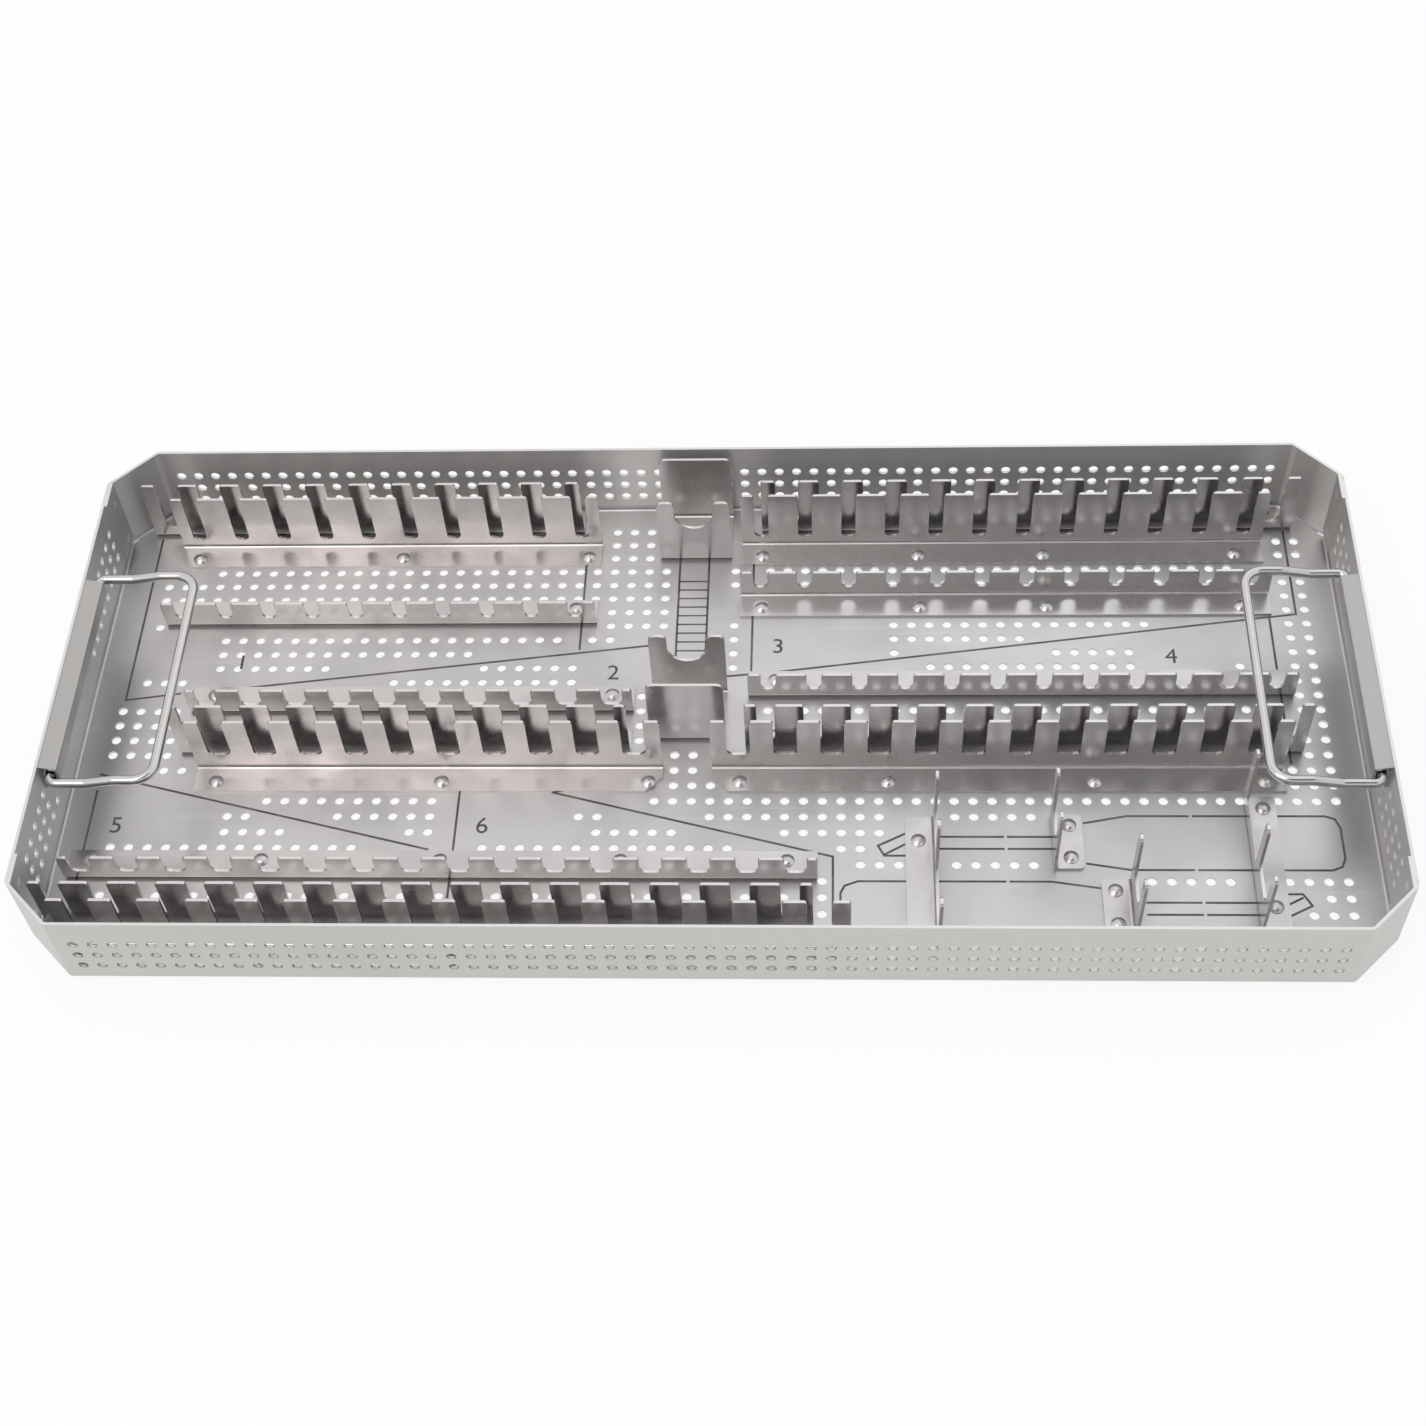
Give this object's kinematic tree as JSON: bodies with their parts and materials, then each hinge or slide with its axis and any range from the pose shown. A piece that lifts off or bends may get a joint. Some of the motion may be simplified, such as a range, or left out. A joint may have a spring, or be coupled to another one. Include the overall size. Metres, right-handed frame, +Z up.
{
  "type": "instrument tray",
  "caption": "Perforated steel sterilising tray with slotted combs, pronged rests and shaft cradles riveted to its floor and a folding wire handle at each end.",
  "frame": {"origin": "underside of the tray, at the middle of its footprint", "axes": "+X along the tray's length, +Y to the wall with the tall narrow-slot combs, +Z up"},
  "size_m": [0.533, 0.2424, 0.0402],
  "materials": {
    "tray_sheet": "satin",
    "comb_steel": "satin",
    "channel_steel": "satin",
    "wire_steel": "polished",
    "rivet_steel": "satin"
  },
  "bodies": {
    "tray": {"back_comb_rivets": "rivet_steel", "back_cradle": "comb_steel", "back_left_comb": "comb_steel", "back_left_rear_comb": "comb_steel", "back_right_comb": "comb_steel", "back_right_rear_comb": "comb_steel", "centre_comb_rivets": "rivet_steel", "centre_cradle": "comb_steel", "centre_left_comb": "comb_steel", "centre_left_low_comb": "comb_steel", "centre_left_rear_comb": "comb_steel", "centre_right_comb": "comb_steel", "centre_right_low_comb": "comb_steel", "centre_right_rear_comb": "comb_steel", "cradle_rivets": "rivet_steel", "front_comb_rivets": "rivet_steel", "front_left_comb": "comb_steel", "front_left_low_comb": "comb_steel", "front_left_rear_comb": "comb_steel", "left_handle_channel": "channel_steel", "left_long_rest": "comb_steel", "left_low_comb": "comb_steel", "left_short_rest": "comb_steel", "low_comb_rivets": "rivet_steel", "rest_rivets": "rivet_steel", "right_handle_channel": "channel_steel", "right_long_rest": "comb_steel", "right_low_comb": "comb_steel", "right_short_rest": "comb_steel", "tray_body": "tray_sheet"},
    "left_loop": {"left_handle": "wire_steel"},
    "right_loop": {"right_handle": "wire_steel"}
  },
  "joints": [
    {"name": "left_handle_hinge", "type": "hinge", "parent": "tray", "child": "left_loop", "pos_m": [-0.2616, 0, 0.0346], "axis": [0, -1, 0], "range_deg": [0, 100]},
    {"name": "right_handle_hinge", "type": "hinge", "parent": "tray", "child": "right_loop", "pos_m": [0.2616, 0, 0.0346], "axis": [0, 1, 0], "range_deg": [0, 100]}
  ]
}
